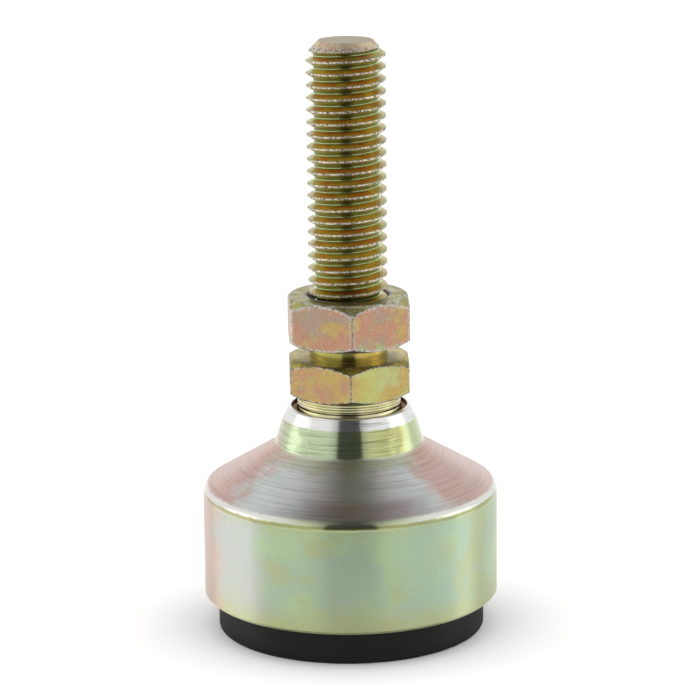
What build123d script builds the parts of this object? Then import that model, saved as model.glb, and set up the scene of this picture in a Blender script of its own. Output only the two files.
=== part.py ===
"""Furniture leveling foot: a swivelling threaded stud in a round steel base on a rubber pad.

Millimetres, +Z up along the stud, origin at the centre of the rubber pad's underside.
Every sub-part is written to its own STEP file in its place in the assembly.
"""

import math
import os

from build123d import *

INCH = 25.4

# Standard sizes: a 1/2-13 UNC stud, a 3/4 inch hexagon and a 1 7/8 inch base
THREAD_DIAMETER = INCH / 2
THREAD_PITCH = INCH / 13
ACROSS_FLATS = 0.75 * INCH
BASE_DIAMETER = 1.875 * INCH

# Heights along the axis
BASE_BOTTOM = 5.5
LIP_TOP = 36.75
HEXAGON_BOTTOM = 38.75
HEXAGON_TOP = 45.0
NUT_BOTTOM = 47.3
NUT_TOP = 54.9
STUD_TOP = 95.7

# Rubber pad and the recess that holds it
PAD_RADIUS = 21.6
PAD_RECESS_DEPTH = 3.0
PAD_SIDE_GAP = 0.1
PAD_EDGE = 0.5
PAD_GROOVE_WIDTH = 1.2
PAD_GROOVE_DEPTH = 0.8
PAD_GROOVE_RADII = (7.0, 11.5, 16.0)

# Outside of the base: side, cone, neck and the lip that is rolled in over the ball
BASE_FOOT_CHAMFER = 0.5
SHOULDER_RADIUS = 1.67
CONE_SLOPE = 30.6
CONE_TOP_RADIUS = 12.07
CONE_TOP = 30.52
NECK_FILLET = 0.9
LIP_FOLD_RADIUS = 10.75
LIP_FOLD = 34.9
LIP_OUTER_RADIUS = 9.9
LIP_INNER_RADIUS = 9.35
LIP_ROUNDING = 0.4

# Ball joint: the ball, the liner around it and the seat or bore around that, a running gap between each
BALL_RADIUS = 9.0
BALL_CENTRE = 33.4
RUNNING_GAP = 0.05
LINER_THICKNESS = 0.6
SOCKET_RADIUS = BALL_RADIUS + RUNNING_GAP
LINER_RADIUS = SOCKET_RADIUS + LINER_THICKNESS
SEAT_RADIUS = LINER_RADIUS + RUNNING_GAP
BORE_RADIUS = SEAT_RADIUS + RUNNING_GAP
LINER_RIM = BALL_CENTRE - 1.3
LINER_HOLE_RADIUS = 2.0
SEAT_RIM = BALL_CENTRE - 4.0
SEAT_HOLE_RADIUS = 2.5
SEAT_FOOT_CHAMFER = 0.5
BORE_FLOOR = 21.5

# Ring that keeps the ball in, between a ledge in the bore and the rolled lip
RING_RADIUS = 9.93
RING_SIDE = 1.25
RING_BEVEL = 1.15
RING_LEDGE = BALL_CENTRE + 0.3
RING_SIDE_TOP = RING_LEDGE + RING_SIDE
RING_TOP = RING_SIDE_TOP + RING_BEVEL
RING_TOP_OUTER_RADIUS = 9.33
RING_TOP_INNER_RADIUS = 9.15
RING_MOUTH = BALL_CENTRE + 2.4
RING_GAP = 0.02

# Collar between the ball and the hexagon, with fine turned grooves
COLLAR_RADIUS = 8.32
COLLAR_GROOVES = 4
COLLAR_GROOVE_PITCH = 0.42
COLLAR_GROOVE_DEPTH = 0.1
COLLAR_GROOVE_WIDTH = 0.18

# Hexagon of the stud and the jam nut
HEXAGON_TURN = 1.7
HEXAGON_CHAMFER_SLOPE = 31.0
HEXAGON_FACE_RADIUS = 9.2
HEXAGON_ROUNDING = 0.35
NUT_TURN = 3.3
NUT_TOP_CHAMFER_SLOPE = 40.0
NUT_BOTTOM_CHAMFER_SLOPE = 30.0
NUT_TOP_FACE_RADIUS = 9.3
NUT_BOTTOM_FACE_RADIUS = 9.4
NUT_ROUNDING = 0.7
NUT_COUNTERSINK_RADIUS = 6.7

# Thread of the stud, and the slack that the nut's thread has around it
CREST_TRIM = 0.03
THREAD_DEPTH = 0.6134 * THREAD_PITCH
SHANK_RADIUS = 6.25
SHANK_TOP = NUT_BOTTOM - 0.1
ROOT_RADIUS = THREAD_DIAMETER / 2 - THREAD_DEPTH
CREST_RADIUS = THREAD_DIAMETER / 2 - CREST_TRIM
FLANK_SLOPE = math.tan(math.radians(30))
CREST_WIDTH = THREAD_PITCH / 8 + 2 * CREST_TRIM * FLANK_SLOPE
FLANK_GAP = 0.12
NUT_MINOR_RADIUS = 5.45
NUT_MAJOR_RADIUS = 6.55
THREAD_PHASE = 57.5
STUD_END_RADIUS = 4.34

# How far a cutting shape runs past the surface it cuts
PAST = 1.0


def turned(points):
    """Solid of revolution about Z from a closed outline of (radius, height) points."""
    outline = Polyline(*points, close=True)
    face = Plane.XZ * make_face(outline)
    return revolve(face, Axis.Z)


def turned_face(face):
    """Solid of revolution about Z from a face drawn as (radius, height)."""
    return revolve(Plane.XZ * face, Axis.Z)


def corner(face, radius, height):
    """The corner of a drawn outline that is nearest to a (radius, height) point."""
    return face.vertices().sort_by_distance(Vector(radius, height))[0]


def ball(radius):
    """Sphere about the centre of the ball joint."""
    return Pos(0, 0, BALL_CENTRE) * Sphere(radius)


def radius_on_sphere(sphere_radius, height):
    """Distance from the Z axis to a sphere about the joint's centre, at a given height."""
    return math.sqrt(sphere_radius**2 - (height - BALL_CENTRE) ** 2)


def threaded_rod(root_radius, crest_radius, crest_width, bottom, top):
    """Right-hand 60 degree threaded rod about Z that reaches past both heights.

    Its surface is strips ruled between helices, one set for each turn. Each end is closed by a
    helical disc and the step in it. Rods of any length and place share one helix.
    """
    half_crest = crest_width / 2
    flank_rise = (crest_radius - root_radius) * FLANK_SLOPE
    profile = [
        (crest_radius, -half_crest),
        (crest_radius, half_crest),
        (root_radius, half_crest + flank_rise),
        (root_radius, THREAD_PITCH - half_crest - flank_rise),
        (crest_radius, THREAD_PITCH - half_crest),
    ]
    axis_bottom = (0, -half_crest)
    axis_top = (0, THREAD_PITCH - half_crest)
    helices = [Pos(0, 0, z) * Edge.make_helix(THREAD_PITCH, THREAD_PITCH, radius) for radius, z in profile]
    strips = [Face.make_surface_from_curves(low, high) for low, high in zip(helices, helices[1:])]
    axis = Edge.make_line((0, *axis_bottom), (0, *axis_top))
    disc = Face.make_surface_from_curves(axis, helices[0])
    step = (Plane.XZ * make_face(Polyline(axis_bottom, *profile, axis_top, close=True))).face()
    first = math.floor(bottom / THREAD_PITCH) - 1
    last = math.ceil(top / THREAD_PITCH) + 1
    surface = [Pos(0, 0, turn * THREAD_PITCH) * strip for turn in range(first, last) for strip in strips]
    surface += [Pos(0, 0, turn * THREAD_PITCH) * cap for turn in (first, last) for cap in (disc, step)]
    return Rot(0, 0, THREAD_PHASE) * Solid(Shell(surface))


def hexagon(bottom, top, turn, rounding):
    """Hexagonal prism with rounded corners, one of them towards -Y and turned from there about Z."""
    outline = RegularPolygon(ACROSS_FLATS / 2, 6, major_radius=False, rotation=turn - 90)
    outline = fillet(outline.vertices(), rounding)
    return extrude(Pos(0, 0, bottom) * outline, top - bottom)


def chamfered_hexagon(bottom, top, turn, rounding, bottom_radius, bottom_slope, top_radius, top_slope):
    """Hexagon whose corners are turned off by a cone at each end."""
    outer_radius = ACROSS_FLATS / math.sqrt(3) + PAST
    bottom_rise = (outer_radius - bottom_radius) * math.tan(math.radians(bottom_slope))
    top_fall = (outer_radius - top_radius) * math.tan(math.radians(top_slope))
    envelope = turned(
        [
            (0, bottom),
            (bottom_radius, bottom),
            (outer_radius, bottom + bottom_rise),
            (outer_radius, top - top_fall),
            (top_radius, top),
            (0, top),
        ]
    )
    return hexagon(bottom, top, turn, rounding) & envelope


def make_base_housing():
    """Turned base: recess for the pad below, bore for the ball joint above, rolled lip on top."""
    base_radius = BASE_DIAMETER / 2
    slope = math.tan(math.radians(CONE_SLOPE))
    shoulder = CONE_TOP - (base_radius - CONE_TOP_RADIUS) * slope
    recess_radius = PAD_RADIUS + PAD_SIDE_GAP
    recess_top = BASE_BOTTOM + PAD_RECESS_DEPTH
    pocket_radius = RING_RADIUS + RING_GAP
    outline = Polyline(
        (0, recess_top),
        (recess_radius, recess_top),
        (recess_radius, BASE_BOTTOM),
        (base_radius - BASE_FOOT_CHAMFER, BASE_BOTTOM),
        (base_radius, BASE_BOTTOM + BASE_FOOT_CHAMFER),
        (base_radius, shoulder),
        (CONE_TOP_RADIUS, CONE_TOP),
        (LIP_FOLD_RADIUS, LIP_FOLD),
        (LIP_OUTER_RADIUS, LIP_TOP),
        (LIP_INNER_RADIUS, LIP_TOP),
        (LIP_INNER_RADIUS, RING_TOP + RING_GAP),
        (pocket_radius, RING_SIDE_TOP),
        (pocket_radius, RING_LEDGE),
        (BORE_RADIUS, RING_LEDGE),
        (BORE_RADIUS, BORE_FLOOR),
        (0, BORE_FLOOR),
        close=True,
    )
    face = make_face(outline)
    face = fillet(corner(face, base_radius, shoulder), SHOULDER_RADIUS)
    face = fillet(corner(face, CONE_TOP_RADIUS, CONE_TOP), NECK_FILLET)
    face = fillet(corner(face, LIP_OUTER_RADIUS, LIP_TOP), LIP_ROUNDING)
    return turned_face(face)


def make_rubber_pad():
    """Rubber disc pressed into the base's recess, with ring grooves in its underside."""
    top = BASE_BOTTOM + PAD_RECESS_DEPTH
    pad = extrude(Circle(PAD_RADIUS), top)
    foot = pad.edges().group_by(Axis.Z)[0]
    pad = fillet(foot, PAD_EDGE)
    for radius in PAD_GROOVE_RADII:
        half = PAD_GROOVE_WIDTH / 2
        pad -= turned(
            [
                (radius - half, -PAST),
                (radius + half, -PAST),
                (radius + half, PAD_GROOVE_DEPTH),
                (radius - half, PAD_GROOVE_DEPTH),
            ]
        )
    return pad


def make_retaining_ring():
    """Steel ring over the ball: seated on the bore's ledge, bevelled at its mouth."""
    disc = turned(
        [
            (0, RING_LEDGE),
            (RING_RADIUS, RING_LEDGE),
            (RING_RADIUS, RING_SIDE_TOP),
            (RING_TOP_OUTER_RADIUS, RING_TOP),
            (RING_TOP_INNER_RADIUS, RING_TOP),
            (radius_on_sphere(SOCKET_RADIUS, RING_MOUTH), RING_MOUTH),
            (0, RING_MOUTH),
        ]
    )
    return disc - ball(SOCKET_RADIUS)


def make_thrust_seat():
    """Steel cup on the floor of the bore, free to turn under the liner."""
    seat = turned(
        [
            (SEAT_HOLE_RADIUS, BORE_FLOOR),
            (SEAT_RADIUS - SEAT_FOOT_CHAMFER, BORE_FLOOR),
            (SEAT_RADIUS, BORE_FLOOR + SEAT_FOOT_CHAMFER),
            (SEAT_RADIUS, SEAT_RIM),
            (SEAT_HOLE_RADIUS, SEAT_RIM),
        ]
    )
    return seat - ball(SEAT_RADIUS)


def make_ball_liner():
    """Thin plastic cup around the lower part of the ball."""
    shell = ball(LINER_RADIUS) - ball(SOCKET_RADIUS)
    cup_zone = turned(
        [
            (LINER_HOLE_RADIUS, BORE_FLOOR),
            (LINER_RADIUS + PAST, BORE_FLOOR),
            (LINER_RADIUS + PAST, LINER_RIM),
            (LINER_HOLE_RADIUS, LINER_RIM),
        ]
    )
    return shell & cup_zone


def make_stud_head():
    """Ball, grooved collar and plain shank of the stud, up to the run-out of its thread."""
    hexagon_middle = (HEXAGON_BOTTOM + HEXAGON_TOP) / 2
    run_out_top = SHANK_TOP + SHANK_RADIUS - ROOT_RADIUS
    stem = turned(
        [
            (0, BALL_CENTRE),
            (COLLAR_RADIUS, BALL_CENTRE),
            (COLLAR_RADIUS, hexagon_middle),
            (SHANK_RADIUS, hexagon_middle),
            (SHANK_RADIUS, SHANK_TOP),
            (ROOT_RADIUS, run_out_top),
            (0, run_out_top),
        ]
    )
    for groove in range(COLLAR_GROOVES):
        height = HEXAGON_BOTTOM - (groove + 0.5) * COLLAR_GROOVE_PITCH
        stem -= turned(
            [
                (COLLAR_RADIUS - COLLAR_GROOVE_DEPTH, height),
                (COLLAR_RADIUS + COLLAR_GROOVE_DEPTH, height - COLLAR_GROOVE_WIDTH),
                (COLLAR_RADIUS + COLLAR_GROOVE_DEPTH, height + COLLAR_GROOVE_WIDTH),
            ]
        )
    return stem + ball(BALL_RADIUS)


def make_swivel_stud():
    """Stud turned from hexagonal bar: ball, collar, hexagon, plain shank and thread."""
    thread = threaded_rod(ROOT_RADIUS, CREST_RADIUS, CREST_WIDTH, SHANK_TOP, STUD_TOP)
    outer_radius = CREST_RADIUS + PAST
    thread &= turned(
        [
            (0, SHANK_TOP),
            (outer_radius, SHANK_TOP),
            (outer_radius, STUD_TOP - (outer_radius - STUD_END_RADIUS)),
            (STUD_END_RADIUS, STUD_TOP),
            (0, STUD_TOP),
        ]
    )
    grip = chamfered_hexagon(
        HEXAGON_BOTTOM,
        HEXAGON_TOP,
        HEXAGON_TURN,
        HEXAGON_ROUNDING,
        HEXAGON_FACE_RADIUS,
        HEXAGON_CHAMFER_SLOPE,
        HEXAGON_FACE_RADIUS,
        HEXAGON_CHAMFER_SLOPE,
    )
    return make_stud_head() + grip + thread


def make_jam_nut():
    """Thin hexagon nut, threaded to run on the stud, countersunk at both faces."""
    blank = chamfered_hexagon(
        NUT_BOTTOM,
        NUT_TOP,
        NUT_TURN,
        NUT_ROUNDING,
        NUT_BOTTOM_FACE_RADIUS,
        NUT_BOTTOM_CHAMFER_SLOPE,
        NUT_TOP_FACE_RADIUS,
        NUT_TOP_CHAMFER_SLOPE,
    )
    widening = FLANK_GAP / math.cos(math.radians(30)) - (NUT_MAJOR_RADIUS - CREST_RADIUS) * FLANK_SLOPE
    tap = threaded_rod(
        NUT_MINOR_RADIUS,
        NUT_MAJOR_RADIUS,
        CREST_WIDTH + 2 * widening,
        NUT_BOTTOM - PAST,
        NUT_TOP + PAST,
    )
    sink = NUT_COUNTERSINK_RADIUS - NUT_MINOR_RADIUS
    low_sink = turned(
        [
            (0, NUT_BOTTOM - PAST),
            (NUT_COUNTERSINK_RADIUS + PAST, NUT_BOTTOM - PAST),
            (NUT_MINOR_RADIUS, NUT_BOTTOM + sink),
            (0, NUT_BOTTOM + sink),
        ]
    )
    high_sink = turned(
        [
            (0, NUT_TOP + PAST),
            (NUT_COUNTERSINK_RADIUS + PAST, NUT_TOP + PAST),
            (NUT_MINOR_RADIUS, NUT_TOP - sink),
            (0, NUT_TOP - sink),
        ]
    )
    return blank - tap - low_sink - high_sink


SUB_PARTS = {
    "base_housing": make_base_housing,
    "rubber_pad": make_rubber_pad,
    "retaining_ring": make_retaining_ring,
    "thrust_seat": make_thrust_seat,
    "ball_liner": make_ball_liner,
    "swivel_stud": make_swivel_stud,
    "jam_nut": make_jam_nut,
}

os.makedirs("parts", exist_ok=True)
for name, make in SUB_PARTS.items():
    shape = make()
    print(name, "solids", len(shape.solids()), "valid", shape.is_valid, "volume", round(shape.volume, 2))
    export_step(shape, f"parts/{name}.step")
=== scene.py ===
"""Looks of the furniture leveling foot: materials, light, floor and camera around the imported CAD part."""

import math

import bpy
from mathutils import Matrix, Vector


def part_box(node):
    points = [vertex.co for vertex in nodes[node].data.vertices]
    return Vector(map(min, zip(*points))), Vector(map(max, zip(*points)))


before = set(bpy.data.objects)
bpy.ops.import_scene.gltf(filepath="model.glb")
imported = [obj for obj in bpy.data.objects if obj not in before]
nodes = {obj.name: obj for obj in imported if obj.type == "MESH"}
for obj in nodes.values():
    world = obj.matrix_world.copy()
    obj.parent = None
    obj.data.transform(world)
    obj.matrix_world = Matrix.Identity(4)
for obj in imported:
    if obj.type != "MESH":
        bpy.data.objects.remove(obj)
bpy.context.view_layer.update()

# Where a finish changes, in millimetres: heights from the CAD nodes' own boxes, radii and thread sizes.
# Each chamfer edge is height plus slope times radius, counted from the top of its hexagon.
MM = 1000.0
LIP_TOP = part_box("base_housing")[1].z * MM
BASE_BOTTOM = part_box("base_housing")[0].z * MM
BASE_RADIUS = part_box("base_housing")[1].x * MM
STUD_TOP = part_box("swivel_stud")[1].z * MM
NUT_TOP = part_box("jam_nut")[1].z * MM
NUT_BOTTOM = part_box("jam_nut")[0].z * MM
HEXAGON_BOTTOM = LIP_TOP + 2.0
HEXAGON_TOP = LIP_TOP + 8.25
LIP_INNER = 9.35
INCH = 25.4
THREADS_PER_INCH = 13.0
THREAD_PITCH = INCH / THREADS_PER_INCH
THREAD_PHASE = 147.5
THREAD_ROOT = 5.15
THREAD_CREST = 6.32
STUD_END = 4.34
SHOULDER = LIP_TOP - 13.2
CONE_TOP = LIP_TOP - 6.2
CONE_INNER = 13.0
CONE_OUTER = 21.0
CONE_PATCH_EDGE = 2.5
NUT_BORE = 6.75
NUT_CHAMFER_SLOPE = 0.84
NUT_CHAMFER_EDGE = 7.70
HEXAGON_CHAMFER_SLOPE = 0.60
HEXAGON_CHAMFER_EDGE = 5.40
CHAMFER_SOFTNESS = 0.08
SILVER_BAND_BOTTOM = LIP_TOP - 1.85

# Colours as the eye sees them, 0 to 1
MINT = (0.65, 0.73, 0.58)
BLUE_MINT = (0.60, 0.69, 0.63)
YELLOW_MINT = (0.67, 0.68, 0.49)
LAVENDER = (0.68, 0.69, 0.68)
ROSE = (0.76, 0.65, 0.60)
CONE_ROSE = (0.76, 0.61, 0.57)
ROSE_GREY = (0.62, 0.55, 0.55)
STEEL_GREY = (0.83, 0.83, 0.83)
BLUE_STEEL = (0.72, 0.79, 0.77)
GREEN_GREY = (0.63, 0.70, 0.61)
SILVER = (0.84, 0.84, 0.83)
LEAF = (0.60, 0.67, 0.44)
PALE_LEAF = (0.70, 0.76, 0.62)
GOLD_LEAF = (0.70, 0.71, 0.49)
LIME = (0.70, 0.72, 0.40)
GOLD = (0.72, 0.64, 0.34)
OLIVE = (0.52, 0.48, 0.22)
OLIVE_GOLD = (0.64, 0.62, 0.36)
ORANGE = (0.69, 0.50, 0.29)
SALMON = (0.71, 0.54, 0.44)
PINK_GREY = (0.65, 0.56, 0.49)
PALE_PINK = (0.78, 0.66, 0.56)
HONEY = (0.72, 0.62, 0.38)
PALE_BEIGE = (0.84, 0.80, 0.68)
PALE_ROSE = (0.88, 0.84, 0.80)
BROWN = (0.36, 0.27, 0.15)
PAINTED_SHADE_GREEN = (0.20, 0.22, 0.07)
PAINTED_HIGHLIGHT_MINT = (0.78, 0.90, 0.72)
INK = (0.05, 0.05, 0.04)
END_GREEN = (0.70, 0.70, 0.59)
END_ROSE = (0.74, 0.69, 0.61)
SHANK_GOLD = (0.62, 0.60, 0.32)
DARK_STEEL = (0.42, 0.41, 0.39)
LIGHT_STEEL = (0.52, 0.51, 0.49)
ACETAL = (0.90, 0.90, 0.87)
ACETAL_SHADE = (0.86, 0.86, 0.82)
RUBBER = (0.05, 0.05, 0.045)
RUBBER_SHADE = (0.09, 0.09, 0.08)
DUST = (0.35, 0.35, 0.32)
FLOOR_GREY = (0.955, 0.955, 0.955)
FLOOR_PALE = (0.965, 0.965, 0.965)
WHITE = (1.0, 1.0, 1.0)
BLACK = (0.0, 0.0, 0.0)

WORN_ROUGHNESS = 0.65


def linear(colour, alpha=1.0):
    """Shader colour from a colour as the eye sees it."""

    def channel(value):
        return value / 12.92 if value <= 0.04045 else ((value + 0.055) / 1.055) ** 2.4

    return tuple(channel(value) for value in colour) + (alpha,)


class Shader:
    """One material's node tree, with short calls for the nodes it is made of."""

    def __init__(self, name):
        self.material = bpy.data.materials.new(name)
        self.material.use_nodes = True
        self.tree = self.material.node_tree
        self.surface = self.tree.nodes["Principled BSDF"]
        position = self.add("ShaderNodeTexCoord").outputs["Object"]
        millimetres = self.add("ShaderNodeVectorMath", {0: position, "Scale": MM}, operation="SCALE")
        self.position = millimetres.outputs[0]
        parts = self.add("ShaderNodeSeparateXYZ", {0: self.position})
        self.x, self.y, self.z = parts.outputs
        self.radius = self.math("SQRT", self.math("ADD", self.squared(self.x), self.squared(self.y)))
        self.azimuth = self.math("ARCTAN2", self.x, self.math("MULTIPLY", self.y, -1.0))
        self.aside = self.math("DIVIDE", self.x, self.radius)
        self.ahead = self.math("DIVIDE", self.y, self.radius)

    def add(self, kind, inputs=None, **settings):
        """New node. An input that is a socket gets linked, any other is a value."""
        node = self.tree.nodes.new(kind)
        for key, value in settings.items():
            setattr(node, key, value)
        for key, value in (inputs or {}).items():
            self.put(node.inputs[key], value)
        return node

    def put(self, socket, value):
        """Links a socket, or sets a value; a colour is given as the eye sees it."""
        if isinstance(value, bpy.types.NodeSocket):
            self.tree.links.new(value, socket)
        elif socket.type == "RGBA" and len(value) == 3:
            socket.default_value = linear(value)
        else:
            socket.default_value = value

    def math(self, operation, a, b=0.0):
        return self.add("ShaderNodeMath", {0: a, 1: b}, operation=operation).outputs[0]

    def squared(self, a):
        return self.math("MULTIPLY", a, a)

    def ramp(self, value, low, high):
        """0 below low and 1 above high, smooth between them; high may be the lower one."""
        return self.add(
            "ShaderNodeMapRange",
            {"Value": value, "From Min": low, "From Max": high},
            interpolation_type="SMOOTHSTEP",
        ).outputs[0]

    def scale(self, value, low, high):
        """Maps 0 to 1 onto low to high."""
        return self.add("ShaderNodeMapRange", {"Value": value, "To Min": low, "To Max": high}).outputs[0]

    def mix_values(self, share, a, b):
        return self.add("ShaderNodeMix", {0: share, 2: a, 3: b}, data_type="FLOAT").outputs[0]

    def mix(self, share, a, b):
        node = self.add("ShaderNodeMix", data_type="RGBA")
        self.put(node.inputs[0], share)
        self.put(node.inputs[6], a)
        self.put(node.inputs[7], b)
        return node.outputs[2]

    def stretched(self, x, y, z, shift=0.0):
        """The position scaled along each axis, and moved so that no two patterns are alike."""
        return self.add(
            "ShaderNodeMapping",
            {"Vector": self.position, "Scale": (x, y, z), "Location": (shift, shift * 0.7, shift * 1.3)},
        ).outputs[0]

    def noise(self, size, detail=3.0, rough=0.5, shift=0.0, vector=None):
        """Noise of a feature size in millimetres."""
        return self.add(
            "ShaderNodeTexNoise",
            {
                "Vector": vector or self.stretched(1.0, 1.0, 1.0, shift),
                "Scale": 1.0 / size,
                "Detail": detail,
                "Roughness": rough,
            },
        ).outputs[0]

    def band(self, value, low, high, soft):
        """1 between low and high and 0 outside, with soft ends."""
        above = self.ramp(value, low - soft, low + soft)
        below = self.ramp(value, high + soft, high - soft)
        return self.math("MULTIPLY", above, below)

    def share(self, mask, amount):
        return self.math("MULTIPLY", mask, amount)

    def tint(self, colour, new, mask, amount):
        """The colour with a new one laid over it where the mask is 1, at a strength of 0 to 1."""
        return self.mix(self.share(mask, amount), colour, new)

    def ragged(self, value, reach, noise):
        """The value moved up to that reach either way by noise, so that what it bounds is uneven."""
        return self.math("ADD", value, self.scale(noise, -reach, reach))

    def streaks(self, coordinate, pitch, length, shift=0.0):
        """Noise drawn out around the axis: grooves of that pitch, in arcs of that length in radians."""
        across = self.math("ADD", self.math("DIVIDE", coordinate, pitch), shift)
        turned = [self.math("DIVIDE", share, length) for share in (self.aside, self.ahead)]
        vector = self.add("ShaderNodeCombineXYZ", {0: across, 1: turned[0], 2: turned[1]}).outputs[0]
        return self.noise(1.0, 4.0, 0.65, vector=vector)

    def edges(self, width):
        """1 on the edges of the shape and 0 away from them."""
        soft = self.add("ShaderNodeBevel", {"Radius": width / MM}, samples=4).outputs[0]
        true = self.add("ShaderNodeNewGeometry").outputs["Normal"]
        along = self.add("ShaderNodeVectorMath", {0: soft, 1: true}, operation="DOT_PRODUCT")
        return self.ramp(along.outputs["Value"], 0.998, 0.96)

    def bump(self, height, depth, normal=None):
        """Normal for a height of 0 to 1 that stands depth millimetres high."""
        inputs = {"Height": height, "Distance": depth / MM, "Strength": 1.0}
        if normal is not None:
            inputs["Normal"] = normal
        return self.add("ShaderNodeBump", inputs).outputs[0]

    def finish(self, colour, roughness, metallic=1.0, normal=None, extra=None):
        self.put(self.surface.inputs["Base Color"], colour)
        self.put(self.surface.inputs["Roughness"], roughness)
        self.put(self.surface.inputs["Metallic"], metallic)
        if normal is not None:
            self.put(self.surface.inputs["Normal"], normal)
        for name, value in (extra or {}).items():
            self.put(self.surface.inputs[name], value)
        return self.material


def turned_tangent(shader):
    """Circular tangent of a turned surface, for the streaks that its rings make."""
    tangent = shader.add("ShaderNodeTangent", direction_type="RADIAL", axis="Z").outputs[0]
    shader.put(shader.surface.inputs["Tangent"], tangent)


def housing_side(s):
    """Colour of the upright side: mint, with rose, lavender and blue patches around it."""
    cloud = s.noise(12.0, 3.0, 0.55, shift=3.0)
    aside = s.ragged(s.aside, 0.12, s.noise(8.0, 3.0, 0.6, shift=21.0))
    height = s.ragged(s.z, 2.5, s.noise(5.0, 4.0, 0.6, shift=8.0))
    colour = s.mix(s.ramp(cloud, 0.42, 0.58), MINT, GREEN_GREY)
    colour = s.tint(colour, YELLOW_MINT, s.ramp(s.noise(7.0, 4.0, 0.6, shift=18.0), 0.50, 0.64), 0.6)
    colour = s.tint(colour, BLUE_MINT, s.band(aside, 0.34, 0.72, 0.15), 0.5)
    colour = s.tint(colour, LAVENDER, s.band(aside, -1.2, -0.58, 0.08), 0.85)
    colour = s.tint(colour, YELLOW_MINT, s.ramp(height, SHOULDER - 3.0, SHOULDER), 0.6)
    colour = s.tint(colour, YELLOW_MINT, s.ramp(height, BASE_BOTTOM + 6.0, BASE_BOTTOM), 0.8)
    colour = s.tint(colour, ROSE, s.ramp(aside, -0.82, -0.97), 0.9)
    grain = s.noise(0.22, 3.0, 0.7, shift=13.0)
    colour = s.tint(colour, INK, s.ramp(grain, 0.42, 0.30), 0.25)
    return s.tint(colour, SILVER, s.ramp(grain, 0.60, 0.72), 0.30)


def housing_cone(s, streaks):
    """Colour of the cone: grey turned steel with rose patches at the left, the right and the rim."""
    aside = s.ragged(s.aside, 0.35, s.noise(7.0, 4.0, 0.6, shift=31.0))
    patch = s.ramp(s.noise(7.0, 2.0, 0.5, shift=12.0), 0.35, 0.65)
    colour = s.tint(STEEL_GREY, BLUE_STEEL, patch, 0.6)
    inner = s.ragged(s.radius, 3.5, s.noise(4.0, 3.0, 0.6, shift=22.0))
    colour = s.tint(colour, YELLOW_MINT, s.ramp(inner, CONE_INNER + CONE_PATCH_EDGE, CONE_INNER), 0.5)
    colour = s.tint(colour, CONE_ROSE, s.ramp(aside, 0.55, 0.85), 0.8)
    colour = s.tint(colour, CONE_ROSE, s.ramp(aside, -0.70, -0.92), 0.85)
    outer = s.ramp(s.radius, CONE_OUTER - CONE_PATCH_EDGE, CONE_OUTER)
    rim = s.math("MULTIPLY", outer, s.band(aside, -0.4, 0.5, 0.2))
    colour = s.tint(colour, ROSE_GREY, rim, 0.6)
    return s.tint(colour, INK, s.ramp(streaks, 0.54, 0.36), 0.28)


def housing_neck(s, streaks):
    """Colour of the neck: pale green to gold green, with a painted highlight at the right and painted dark
    reflections at the left and right, darker in its turned scratches.
    """
    aside = s.ragged(s.aside, 0.2, s.noise(4.0, 3.0, 0.6, shift=41.0))
    colour = s.mix(s.ramp(aside, -0.1, 0.45), PALE_LEAF, GOLD_LEAF)
    # Painted highlight: paler green laid at the right of the neck.
    colour = s.tint(colour, PALE_LEAF, s.ramp(aside, 0.68, 0.88), 0.7)
    # Painted dark reflection: ink laid in a band at the left and at the right of the neck.
    painted_dark_reflection = s.band(s.math("ABSOLUTE", aside), 0.57, 0.71, 0.06)
    colour = s.tint(colour, INK, painted_dark_reflection, 0.35)
    colour = s.tint(colour, ROSE, s.ramp(aside, -0.84, -0.98), 0.7)
    return s.tint(colour, INK, s.ramp(streaks, 0.50, 0.36), 0.45)


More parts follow.
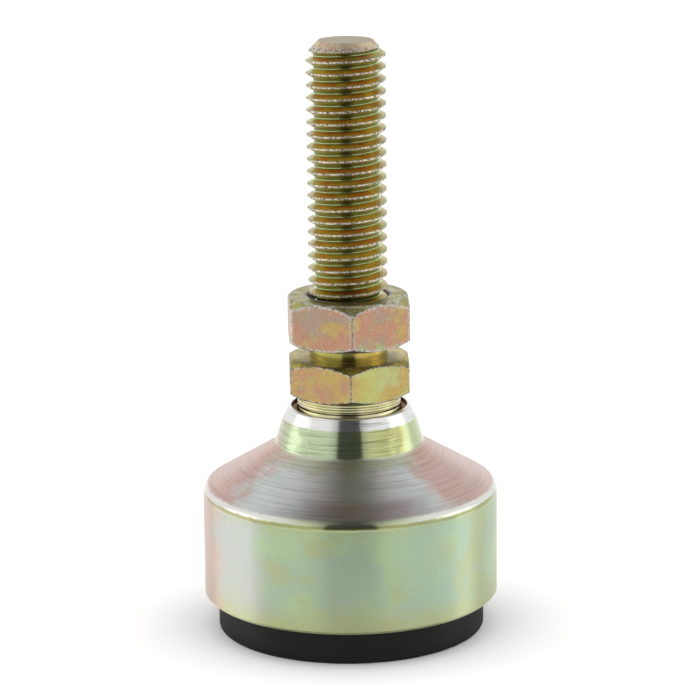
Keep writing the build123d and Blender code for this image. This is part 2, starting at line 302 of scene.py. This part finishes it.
def housing_material():
    """Zinc plate with a clear to yellow chromate, turned grooves, and a bare band on the rolled lip."""
    s = Shader("passivated_housing")
    cone_streaks = s.streaks(s.radius, 0.14, 0.9, shift=5.0)
    side_streaks = s.streaks(s.z, 0.18, 0.8, shift=9.0)
    on_top = s.ramp(s.z, SHOULDER + 0.3, SHOULDER + 0.5)
    on_neck = s.ramp(s.z, CONE_TOP - 0.1, CONE_TOP + 0.5)
    edge = s.ragged(s.z, 0.22, s.noise(1.2, 4.0, 0.6, shift=11.0))
    bare = s.ramp(edge, SILVER_BAND_BOTTOM - 0.1, SILVER_BAND_BOTTOM + 0.1)
    colour = s.mix(on_top, housing_side(s), housing_cone(s, cone_streaks))
    colour = s.mix(on_neck, colour, housing_neck(s, side_streaks))
    silver = s.tint(SILVER, INK, s.ramp(side_streaks, 0.46, 0.32), 0.5)
    colour = s.mix(bare, colour, silver)
    rim_edge = s.band(edge, SHOULDER - 0.95, SHOULDER - 0.45, 0.1)
    colour = s.tint(colour, OLIVE, rim_edge, 0.5)
    # Painted highlight: silver laid on the shoulder rim, a quarter of it all round and up to 0.85 at the
    # left and right.
    painted_highlight_sides = s.ramp(s.math("ABSOLUTE", s.aside), 0.3, 0.55)
    rim = s.band(edge, SHOULDER - 0.35, SHOULDER + 0.4, 0.15)
    colour = s.mix(s.math("MULTIPLY", rim, s.scale(painted_highlight_sides, 0.25, 0.85)), colour, SILVER)
    inside = s.ramp(s.radius, LIP_INNER + 0.05, LIP_INNER)
    in_bore = s.math("MULTIPLY", s.ramp(s.z, SHOULDER, SHOULDER + 1.0), inside)
    colour = s.mix(in_bore, colour, BROWN)
    on_cone = s.math("MULTIPLY", on_top, s.math("SUBTRACT", 1.0, on_neck))
    normal = s.bump(s.share(cone_streaks, on_cone), 0.006)
    normal = s.bump(s.share(side_streaks, s.scale(on_neck, 0.15, 1.0)), 0.004, normal)
    roughness = s.scale(s.noise(7.0, 3.0, 0.6, shift=51.0), 0.32, 0.40)
    smooth = s.math("MAXIMUM", s.band(s.z, SHOULDER - 1.2, SHOULDER + 0.4, 0.2), on_neck)
    roughness = s.mix_values(smooth, roughness, 0.17)
    turned_tangent(s)
    brushed = {"Anisotropic": 0.8, "Anisotropic Rotation": 0.25}
    return s.finish(colour, roughness, normal=normal, extra=brushed)


def mottled(s, shift, ground, second, third):
    """Blotchy chromate of the hexagon flats, with a fine satin grain."""
    patch = s.noise(4.5, 3.0, 0.5, shift=shift)
    colour = s.mix(s.ramp(patch, 0.42, 0.58), ground, second)
    colour = s.tint(colour, third, s.ramp(s.noise(3.4, 3.0, 0.5, shift=shift + 9.0), 0.52, 0.62), 0.85)
    spots = s.ramp(s.noise(1.6, 4.0, 0.65, shift=shift + 17.0), 0.60, 0.66)
    colour = s.tint(colour, LEAF, spots, 0.6)
    grain = s.noise(0.20, 2.0, 0.7, shift=shift + 5.0)
    colour = s.tint(colour, INK, s.ramp(grain, 0.55, 0.35), 0.22)
    return s.tint(colour, SILVER, s.ramp(grain, 0.60, 0.72), 0.35)


def worn(s, colour, shift, edge, flecks):
    """Pale worn line along the edges, broken by dark flecks."""
    fleck = s.ramp(s.noise(0.45, 3.0, 0.7, shift=shift), flecks, flecks + 0.05)
    colour = s.tint(colour, SILVER, edge, 0.85)
    return s.mix(s.math("MULTIPLY", edge, s.share(fleck, 0.9)), colour, INK)


def satin(s, amount=1.0):
    """Normal of a tumbled and plated surface."""
    normal = s.bump(s.share(s.noise(0.9, 2.0, 0.5, shift=2.0), amount), 0.012)
    return s.bump(s.share(s.noise(0.22, 3.0, 0.6, shift=1.0), amount), 0.004, normal)


def nut_material():
    """Salmon and grey flats, olive top with chips, and worn edges."""
    s = Shader("passivated_nut")
    colour = mottled(s, 31.0, SALMON, PINK_GREY, HONEY)
    low = s.ragged(s.z, 5.0, s.noise(1.6, 4.0, 0.65, shift=71.0))
    colour = s.tint(colour, LEAF, s.ramp(low, NUT_BOTTOM + 0.5, NUT_BOTTOM), 0.7)
    faces = s.mix(s.ramp(s.noise(2.0, 3.0, 0.6, shift=61.0), 0.4, 0.6), OLIVE, OLIVE_GOLD)
    slope = s.math("ADD", s.z, s.math("MULTIPLY", s.radius, NUT_CHAMFER_SLOPE))
    chamfer = NUT_TOP + NUT_CHAMFER_EDGE
    colour = s.mix(s.ramp(slope, chamfer, chamfer + CHAMFER_SOFTNESS), colour, faces)
    colour = s.mix(s.ramp(s.z, NUT_TOP - 0.1, NUT_TOP - 0.05), colour, faces)
    chips = s.ramp(s.noise(1.1, 4.0, 0.75, shift=91.0), 0.56, 0.60)
    chips = s.math("MULTIPLY", chips, s.ramp(s.z, NUT_TOP - 1.6, NUT_TOP))
    colour = s.tint(colour, SILVER, chips, 0.7)
    colour = s.mix(s.ramp(s.radius, NUT_BORE + 0.15, NUT_BORE - 0.15), colour, BROWN)
    edge = s.edges(0.9)
    colour = worn(s, colour, 4.0, edge, 0.54)
    roughness = s.mix_values(edge, s.scale(s.noise(3.0, shift=8.0), 0.32, 0.44), WORN_ROUGHNESS)
    return s.finish(colour, roughness, normal=satin(s))


def thread_colour(s):
    """Gold and orange flanks with a painted shade line in dark green and a painted highlight line in pale
    green, and pale worn crests.

    The place in the groove runs from 0 to 1 up one pitch, following the helix.
    """
    degrees = s.math("MULTIPLY", s.azimuth, 180.0 / math.pi)
    turns = s.math("DIVIDE", s.math("SUBTRACT", degrees, THREAD_PHASE), 360.0)
    place = s.math("FRACT", s.math("SUBTRACT", s.math("DIVIDE", s.z, THREAD_PITCH), turns))
    cloud = s.noise(3.0, 3.0, 0.55, shift=2.0)
    flank = s.mix(s.ramp(cloud, 0.42, 0.60), ORANGE, GOLD)
    flank = s.tint(flank, GOLD, s.ramp(place, 0.60, 0.70), 0.6)
    flank = s.tint(flank, LEAF, s.ramp(s.math("ABSOLUTE", s.x), 4.4, 5.6), 0.35)
    colour = s.mix(s.ramp(s.radius, THREAD_ROOT + 0.02, THREAD_ROOT + 0.22), OLIVE, flank)
    # Painted shade and painted highlight along the groove: a dark green line and a pale mint line.
    colour = s.tint(colour, PAINTED_SHADE_GREEN, s.band(place, 0.46, 0.56, 0.03), 0.8)
    colour = s.tint(colour, PAINTED_HIGHLIGHT_MINT, s.band(place, 0.35, 0.44, 0.02), 0.95)
    colour = s.tint(colour, LEAF, s.ramp(s.radius, THREAD_CREST - 0.5, THREAD_CREST - 0.15), 0.4)
    ragged = s.ragged(s.radius, 0.30, s.noise(0.30, 4.0, 0.75, shift=6.0))
    colour = s.tint(colour, PALE_ROSE, s.ramp(ragged, THREAD_CREST - 0.09, THREAD_CREST), 0.9)
    near_crest = s.ramp(s.radius, THREAD_CREST - 0.14, THREAD_CREST - 0.02)
    fleck = s.math("MULTIPLY", s.ramp(s.noise(0.3, 3.0, 0.7, shift=16.0), 0.49, 0.54), near_crest)
    return s.tint(colour, INK, fleck, 0.75)


def stud_end(s, colour):
    """Pale flat end and speckled bevel of the thread."""
    cloud = s.noise(2.5, 3.0, 0.55, shift=2.0)
    end = s.mix(s.ramp(cloud, 0.4, 0.6), END_GREEN, END_ROSE)
    bevel = s.mix(s.ramp(s.noise(2.0, 3.0, 0.6, shift=36.0), 0.35, 0.65), PALE_BEIGE, PALE_PINK)
    grit = s.noise(0.28, 3.0, 0.7, shift=26.0)
    low = s.ramp(s.z, STUD_TOP - 0.5, STUD_TOP - 1.1)
    bevel = s.mix(s.math("MULTIPLY", s.ramp(grit, 0.50, 0.55), low), bevel, SILVER)
    bevel = s.tint(bevel, BROWN, s.math("MULTIPLY", s.ramp(grit, 0.48, 0.43), low), 0.9)
    rim = STUD_TOP + STUD_END
    on_bevel = s.ramp(s.math("ADD", s.z, s.radius), rim - 0.25, rim - 0.1)
    colour = s.mix(on_bevel, colour, bevel)
    return s.mix(s.ramp(s.z, STUD_TOP - 0.06, STUD_TOP - 0.02), colour, end)


def stud_material():
    """Thread, smooth shank, mottled hexagon and turned collar, by height."""
    s = Shader("passivated_stud")
    cloud = s.noise(2.5, 3.0, 0.55, shift=2.0)
    collar_streaks = s.streaks(s.z, 0.15, 0.6, shift=4.0)
    shank = s.mix(s.ramp(cloud, 0.4, 0.65), GOLD, SHANK_GOLD)
    left = mottled(s, 57.0, HONEY, SALMON, HONEY)
    right = mottled(s, 83.0, HONEY, GOLD_LEAF, HONEY)
    hexagon = s.mix(s.ramp(s.x, -1.0, 1.0), left, right)
    centre = s.ragged(s.x, 2.0, s.noise(2.0, 3.0, 0.6, shift=99.0))
    hexagon = s.tint(hexagon, LIME, s.band(centre, 1.5, 5.0, 1.8), 0.5)
    collar = s.mix(s.ramp(collar_streaks, 0.4, 0.6), GOLD_LEAF, PALE_BEIGE)
    upper = s.mix(s.ramp(cloud, 0.4, 0.6), OLIVE, GOLD)
    slope = s.math("ADD", s.z, s.math("MULTIPLY", s.radius, HEXAGON_CHAMFER_SLOPE))
    chamfer = HEXAGON_TOP + HEXAGON_CHAMFER_EDGE
    colour = s.mix(s.ramp(s.z, HEXAGON_BOTTOM - 0.02, HEXAGON_BOTTOM), collar, hexagon)
    colour = s.mix(s.ramp(slope, chamfer, chamfer + CHAMFER_SOFTNESS), colour, upper)
    colour = s.mix(s.ramp(s.z, HEXAGON_TOP - 0.1, HEXAGON_TOP - 0.05), colour, upper)
    colour = s.mix(s.ramp(s.z, HEXAGON_TOP, HEXAGON_TOP + 0.02), colour, shank)
    colour = s.mix(s.ramp(s.z, NUT_BOTTOM - 0.15, NUT_BOTTOM), colour, stud_end(s, thread_colour(s)))
    on_hexagon = s.band(s.z, HEXAGON_BOTTOM, HEXAGON_TOP, 0.1)
    edge = s.math("MULTIPLY", s.edges(0.5), on_hexagon)
    colour = worn(s, colour, 14.0, edge, 0.48)
    on_thread = s.ramp(s.z, NUT_BOTTOM - 0.1, NUT_BOTTOM)
    roughness = s.mix_values(on_hexagon, 0.20, s.scale(cloud, 0.32, 0.44))
    roughness = s.mix_values(edge, roughness, WORN_ROUGHNESS)
    to_crest = s.ramp(s.radius, THREAD_CREST - 0.2, THREAD_CREST)
    roughness = s.mix_values(on_thread, roughness, s.scale(to_crest, 0.28, 0.5))
    roughness = s.mix_values(s.ramp(s.z, STUD_TOP - 1.8, STUD_TOP - 1.5), roughness, 0.55)
    amount = s.math("MAXIMUM", on_hexagon, s.share(on_thread, 0.5))
    return s.finish(colour, roughness, normal=satin(s, amount))


def ring_material():
    """Brown turned steel of the ring that holds the ball."""
    s = Shader("brown_steel")
    streaks = s.streaks(s.radius, 0.2, 0.8)
    colour = s.mix(s.ramp(streaks, 0.4, 0.6), BROWN, ORANGE)
    return s.finish(colour, s.scale(streaks, 0.3, 0.45), normal=s.bump(streaks, 0.01))


def seat_material():
    """Plain turned steel of the cup under the liner."""
    s = Shader("plain_steel")
    streaks = s.streaks(s.radius, 0.5, 0.8)
    colour = s.mix(s.noise(3.0), DARK_STEEL, LIGHT_STEEL)
    return s.finish(colour, s.scale(streaks, 0.28, 0.42), normal=s.bump(streaks, 0.01))


def liner_material():
    """White plastic of the cup around the ball."""
    s = Shader("white_acetal")
    cloud = s.noise(2.0)
    colour = s.mix(cloud, ACETAL, ACETAL_SHADE)
    return s.finish(colour, s.scale(cloud, 0.35, 0.45), metallic=0.0, normal=s.bump(cloud, 0.01))


def rubber_material():
    """Matte black rubber with a fine grain and a little dust."""
    s = Shader("black_rubber")
    grain = s.noise(0.4, 4.0, 0.7)
    colour = s.mix(s.noise(5.0, 4.0, 0.6, shift=4.0), RUBBER, RUBBER_SHADE)
    colour = s.tint(colour, DUST, s.ramp(s.noise(0.3, 3.0, 0.7, shift=6.0), 0.66, 0.74), 0.5)
    roughness = s.scale(grain, 0.62, 0.85)
    extra = {"Specular IOR Level": 0.25}
    return s.finish(colour, roughness, metallic=0.0, normal=s.bump(grain, 0.05), extra=extra)


MATERIALS = {
    "base_housing": housing_material,
    "rubber_pad": rubber_material,
    "retaining_ring": ring_material,
    "thrust_seat": seat_material,
    "ball_liner": liner_material,
    "swivel_stud": stud_material,
    "jam_nut": nut_material,
}
for name, make in MATERIALS.items():
    mesh = nodes[name].data
    mesh.materials.clear()
    mesh.materials.append(make())


def plane(name, corners, material):
    """Flat four-sided sheet of the stage."""
    mesh = bpy.data.meshes.new(name)
    mesh.from_pydata(corners, [], [(0, 1, 2, 3)])
    mesh.materials.append(material)
    sheet = bpy.data.objects.new(name, mesh)
    bpy.context.scene.collection.objects.link(sheet)
    return sheet


def floor_material():
    """Nearly white floor that takes the soft shadow and mirrors nothing."""
    s = Shader("pale_floor")
    colour = s.mix(s.noise(60.0), FLOOR_GREY, FLOOR_PALE)
    return s.finish(colour, 0.9, metallic=0.0, extra={"Specular IOR Level": 0.0})


def card_material(name, strength):
    """Even light of its own, whatever falls on it."""
    s = Shader(name)
    extra = {"Emission Color": WHITE, "Emission Strength": strength, "Specular IOR Level": 0.0}
    return s.finish(BLACK, 1.0, metallic=0.0, extra=extra)


def only_in_reflections(sheet):
    """The sheet shows in glossy surfaces but not to the camera, and it shades nothing."""
    sheet.visible_camera = False
    sheet.visible_diffuse = False
    sheet.visible_shadow = False
    return sheet


def studio_world(gap, side, lamp, back):
    """White to the camera. In reflections it is bright at the left and right, and dark between them.

    The four values are the strengths of its parts. Limits below say where each one starts and ends.
    """
    world = bpy.data.worlds.new("studio")
    world.use_nodes = True
    tree = world.node_tree

    def node(kind, *values, **settings):
        made = tree.nodes.new(kind)
        for key, value in settings.items():
            setattr(made, key, value)
        for socket, value in zip(made.inputs, values):
            if isinstance(value, bpy.types.NodeSocket):
                tree.links.new(value, socket)
            else:
                socket.default_value = value
        return made

    def smooth(value, limits, low, high):
        made = node("ShaderNodeMapRange", value, *limits, low, high, interpolation_type="SMOOTHSTEP")
        return made.outputs[0]

    direction = node("ShaderNodeSeparateXYZ", node("ShaderNodeTexCoord").outputs["Generated"])
    sideways = node("ShaderNodeMath", direction.outputs[0], operation="ABSOLUTE").outputs[0]
    wide = smooth(sideways, GAP_TO_SIDE, gap, side)
    lamps = smooth(sideways, SIDE_TO_LAMP, 0.0, lamp)
    wall = smooth(direction.outputs[1], BACK_WALL, 0.0, back)
    sides = node("ShaderNodeMath", wide, lamps, operation="ADD").outputs[0]
    light = node("ShaderNodeMath", sides, wall, operation="MAXIMUM").outputs[0]
    seen = node("ShaderNodeLightPath").outputs["Is Camera Ray"]
    strength = node("ShaderNodeMath", light, seen, operation="MAXIMUM").outputs[0]
    background = tree.nodes["Background"]
    background.inputs["Color"].default_value = (1.0, 1.0, 1.0, 1.0)
    tree.links.new(strength, background.inputs["Strength"])
    bpy.context.scene.world = world


def around(distance, degrees, height):
    """Point at a distance from the axis, its angle counted from the camera's side towards +X."""
    angle = math.radians(degrees)
    return (distance * math.sin(angle), -distance * math.cos(angle), height)


def upright_card(name, distance, half_angle, height, material):
    """Card in front of the object, as wide as an angle either side of the camera."""
    low = [around(distance, angle, 0.0) for angle in (-half_angle, half_angle)]
    high = [around(distance, angle, height) for angle in (half_angle, -half_angle)]
    return only_in_reflections(plane(name, low + high, material))


def floor_card(name, near, far, start, end, material):
    """Card lying on the floor between two angles and two distances."""
    inner = [around(near, angle, FLOOR_CARD_LIFT) for angle in (start, end)]
    outer = [around(far, angle, FLOOR_CARD_LIFT) for angle in (end, start)]
    return only_in_reflections(plane(name, inner + outer, material))


def mirrored(distance, degrees):
    """Floor point that the upright side mirrors at that angle, a distance away from the side."""
    foot = around(BASE_RADIUS / MM, degrees, FLOOR_CARD_LIFT)
    painted_highlight_sides = around(distance, 2.0 * degrees, 0.0)
    return (foot[0] + painted_highlight_sides[0], foot[1] + painted_highlight_sides[1], FLOOR_CARD_LIFT)


# Stage, in metres and degrees: pale floor, and the dark gap between the lights where the camera stands
FLOOR_HALF = 4.0
FLOOR_CARD_LIFT = 0.0005
GAP_HALF_ANGLE = 20.0
GAP_NEAR = 0.17
GAP_FAR = 0.9
GAP_STRENGTH = 0.09
LIT_STRENGTH = 1.6
LIT_STRIPS = (("lit_left", -66.0, -41.0), ("lit_right", 45.0, 56.0))
FILL_SIZE = 3.0
FILL_ENERGY = 36.0
FILL_HEIGHT = 2.0

# Limits of the world's parts, as the sideways or backward share of a direction
GAP_TO_SIDE = (0.05, 0.62)
SIDE_TO_LAMP = (0.86, 0.97)
BACK_WALL = (0.55, 0.95)

floor_corners = [(FLOOR_HALF * x, FLOOR_HALF * y, 0.0) for x, y in ((-1, -1), (1, -1), (1, 1), (-1, 1))]
plane("floor", floor_corners, floor_material())
card = card_material("dark_card", GAP_STRENGTH)
floor_card("gap_on_floor", GAP_NEAR, GAP_FAR, -GAP_HALF_ANGLE, GAP_HALF_ANGLE, card)
upright_card("gap_behind_camera", GAP_FAR, GAP_HALF_ANGLE, GAP_FAR, card)
for name, start, end in LIT_STRIPS:
    near = [mirrored(0.0, angle) for angle in (start, end)]
    far = [mirrored(GAP_FAR, angle) for angle in (end, start)]
    only_in_reflections(plane(name, near + far, card_material(name, LIT_STRENGTH)))
studio_world(gap=0.12, side=1.12, lamp=0.9, back=1.2)

# Soft light from above for the floor and the rubber, which leaves no glare on the metal
fill_data = bpy.data.lights.new("fill", "AREA")
fill_data.shape = "SQUARE"
fill_data.size = FILL_SIZE
fill_data.energy = FILL_ENERGY
fill = bpy.data.objects.new("fill", fill_data)
fill.location = (0.0, 0.0, FILL_HEIGHT)
fill.visible_glossy = False
bpy.context.scene.collection.objects.link(fill)

# Camera, in metres and degrees, with its lens and sensor in millimetres
CAMERA_PLACE = (0.00022, -0.4792, 0.1628)
CAMERA_DOWN = 13.74
CAMERA_ROLL = 0.60
CAMERA_LENS = 158.0
CAMERA_SENSOR = 36.0
CAMERA_NEAR = 0.01

camera_data = bpy.data.cameras.new("camera")
camera_data.sensor_width = CAMERA_SENSOR
camera_data.lens = CAMERA_LENS
camera_data.clip_start = CAMERA_NEAR
camera = bpy.data.objects.new("camera", camera_data)
tilt = Matrix.Rotation(math.radians(90.0 - CAMERA_DOWN), 4, "X")
roll = Matrix.Rotation(math.radians(-CAMERA_ROLL), 4, "Z")
camera.matrix_world = Matrix.Translation(CAMERA_PLACE) @ tilt @ roll
bpy.context.scene.collection.objects.link(camera)
bpy.context.scene.camera = camera
bpy.context.scene.view_settings.view_transform = "Standard"
